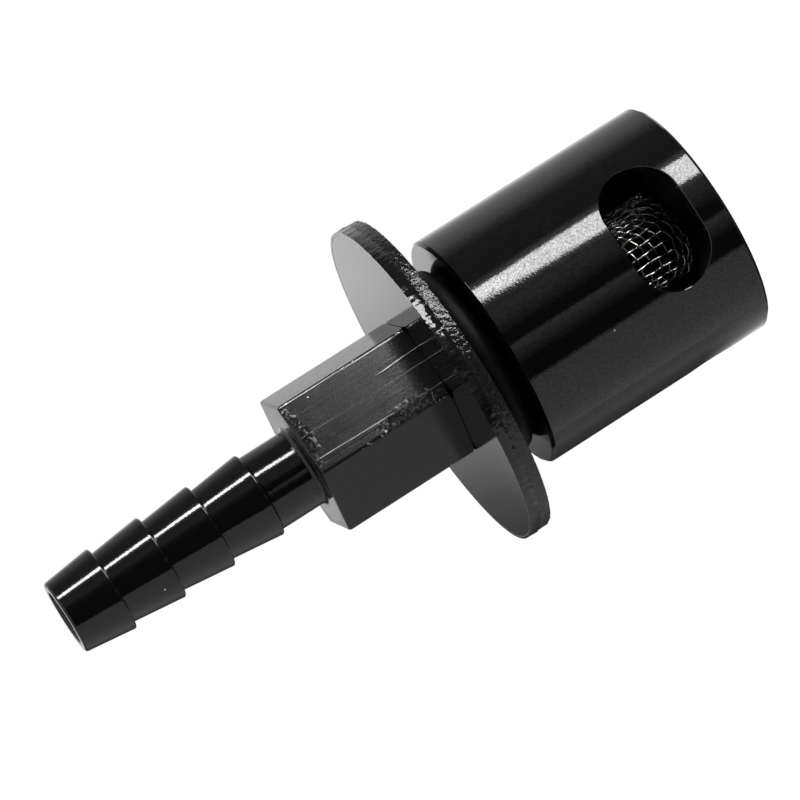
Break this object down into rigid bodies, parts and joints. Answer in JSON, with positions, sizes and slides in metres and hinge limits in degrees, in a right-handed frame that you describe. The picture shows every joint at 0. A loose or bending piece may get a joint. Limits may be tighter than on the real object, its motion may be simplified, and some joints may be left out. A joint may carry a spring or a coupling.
{
  "type": "tank breather valve",
  "caption": "Bulkhead roll-over breather valve: round vent head with gauze-backed side slots, panel seal, clamp washer and a barbed hose tail; a loose ball closes it when inverted.",
  "frame": {"origin": "on the valve's axis, at the centre of the head's rear face, where it seats on the panel", "axes": "+Z along the valve's axis towards the closed end of the head, which is up in use; -Y through the middle of the first slot"},
  "size_m": [0.04, 0.04, 0.084],
  "materials": {
    "head_anodised": "gloss black anodised, turned",
    "tail_anodised": "gloss black anodised, turned and milled",
    "washer_black": "black anodised, mirror gloss, stamped",
    "seal_rubber": "satin black",
    "gauze_steel": "bright woven stainless wire",
    "rim_steel": "bright folded sheet",
    "seat_aluminium": "turned",
    "pad_rubber": "matt black",
    "seat_seal_rubber": "satin black",
    "cage_acetal": "natural acetal",
    "ball_steel": "polished",
    "clip_steel": "phosphated spring steel"
  },
  "bodies": {
    "housing": {"vent_head": "head_anodised", "hose_tail": "tail_anodised", "clamp_washer": "washer_black", "panel_seal": "seal_rubber", "gauze_thimble": "gauze_steel", "gauze_rim": "rim_steel", "valve_seat": "seat_aluminium", "seat_pad": "pad_rubber", "seat_seal": "seat_seal_rubber", "ball_cage": "cage_acetal", "cage_clip": "clip_steel"},
    "ball": {"valve_ball": "ball_steel"}
  },
  "joints": [
    {"name": "ball_lift", "type": "slide", "parent": "housing", "child": "ball", "axis": [0, 0, 1], "range_m": [0, 0.00137]}
  ]
}
